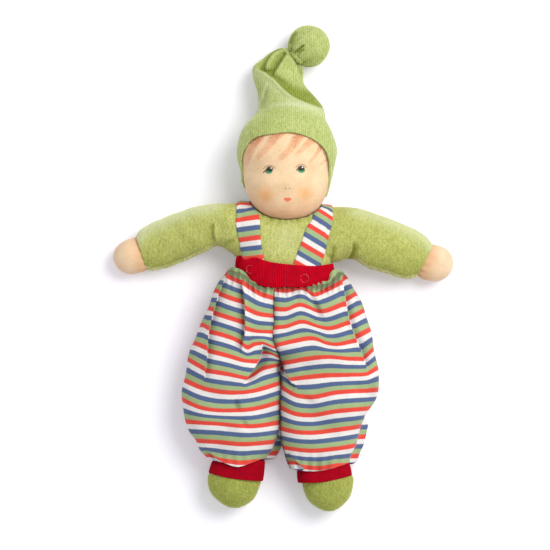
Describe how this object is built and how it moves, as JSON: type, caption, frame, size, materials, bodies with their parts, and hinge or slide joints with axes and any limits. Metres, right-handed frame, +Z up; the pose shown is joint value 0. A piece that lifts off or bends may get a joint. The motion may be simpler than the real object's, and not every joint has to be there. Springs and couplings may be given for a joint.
{
  "type": "waldorf doll",
  "caption": "Soft cloth doll lying on its back in a pointed cap with pompom, velour body and striped jersey trousers with ribbed waistband, cuffs and straps.",
  "frame": {"origin": "on the supporting surface, under the middle of the doll's outline seen from above", "axes": "+X to the right of the view onto the face, +Y from the feet to the cap, +Z up from the doll's back to its face"},
  "size_m": [0.318, 0.4504, 0.0825],
  "materials": {
    "body_velour": "soft knit velour",
    "cap_velour": "ribbed knit velour",
    "skin_tricot": "smooth cotton tricot",
    "wool": "carded sheep's wool",
    "thread": "waxed sewing thread",
    "striped_jersey": "single jersey, striped green, orange-red, off-white and blue",
    "red_rib": "fine rib knit",
    "snap_enamel": "glossy red enamel",
    "snap_metal": "bright nickel"
  },
  "bodies": {
    "torso": {"torso_cover": "body_velour", "torso_wool": "wool", "waistband": "red_rib", "trouser_panel_right": "striped_jersey", "trouser_panel_left": "striped_jersey", "strap_right": "striped_jersey", "strap_left": "striped_jersey", "snap_ring_right": "snap_enamel", "snap_ring_left": "snap_enamel", "snap_socket_right": "snap_metal", "snap_socket_left": "snap_metal", "snap_stud_right": "snap_metal", "snap_stud_left": "snap_metal"},
    "head": {"head_skin": "skin_tricot", "head_core": "wool", "neck_thread": "thread", "cap": "cap_velour", "cap_tie_thread": "thread"},
    "pompom": {"pompom": "cap_velour", "pompom_wool": "wool"},
    "arm_right": {"sleeve_right": "body_velour", "arm_wool_right": "wool", "hand_skin_right": "skin_tricot", "hand_wool_right": "wool"},
    "arm_left": {"sleeve_left": "body_velour", "arm_wool_left": "wool", "hand_skin_left": "skin_tricot", "hand_wool_left": "wool"},
    "leg_right": {"leg_cover_right": "body_velour", "leg_wool_right": "wool", "ankle_cuff_right": "red_rib"},
    "leg_left": {"leg_cover_left": "body_velour", "leg_wool_left": "wool", "ankle_cuff_left": "red_rib"}
  },
  "joints": [
    {"name": "head_turn", "type": "hinge", "parent": "torso", "child": "head", "pos_m": [0.0035, 0.04534, 0.042], "axis": [0, 1, 0], "range_deg": [-35, 35]},
    {"name": "shoulder_left", "type": "hinge", "parent": "torso", "child": "arm_left", "pos_m": [0.06, 0.03574, 0.031], "axis": [0, 0, 1], "range_deg": [-30, 60]},
    {"name": "shoulder_right", "type": "hinge", "parent": "torso", "child": "arm_right", "pos_m": [-0.06, 0.03574, 0.031], "axis": [0, 0, -1], "range_deg": [-30, 60]},
    {"name": "hip_left", "type": "hinge", "parent": "torso", "child": "leg_left", "pos_m": [0.031, -0.05776, 0.029], "axis": [-1, 0, 0], "range_deg": [0, 75], "deforming": ["trouser_panel_left"]},
    {"name": "hip_right", "type": "hinge", "parent": "torso", "child": "leg_right", "pos_m": [-0.031, -0.05776, 0.029], "axis": [-1, 0, 0], "range_deg": [0, 75], "deforming": ["trouser_panel_right"]},
    {"name": "pompom_sway", "type": "hinge", "parent": "head", "child": "pompom", "pos_m": [0.008, 0.19024, 0.018], "axis": [0, 0, 1], "range_deg": [-15, 15]}
  ]
}
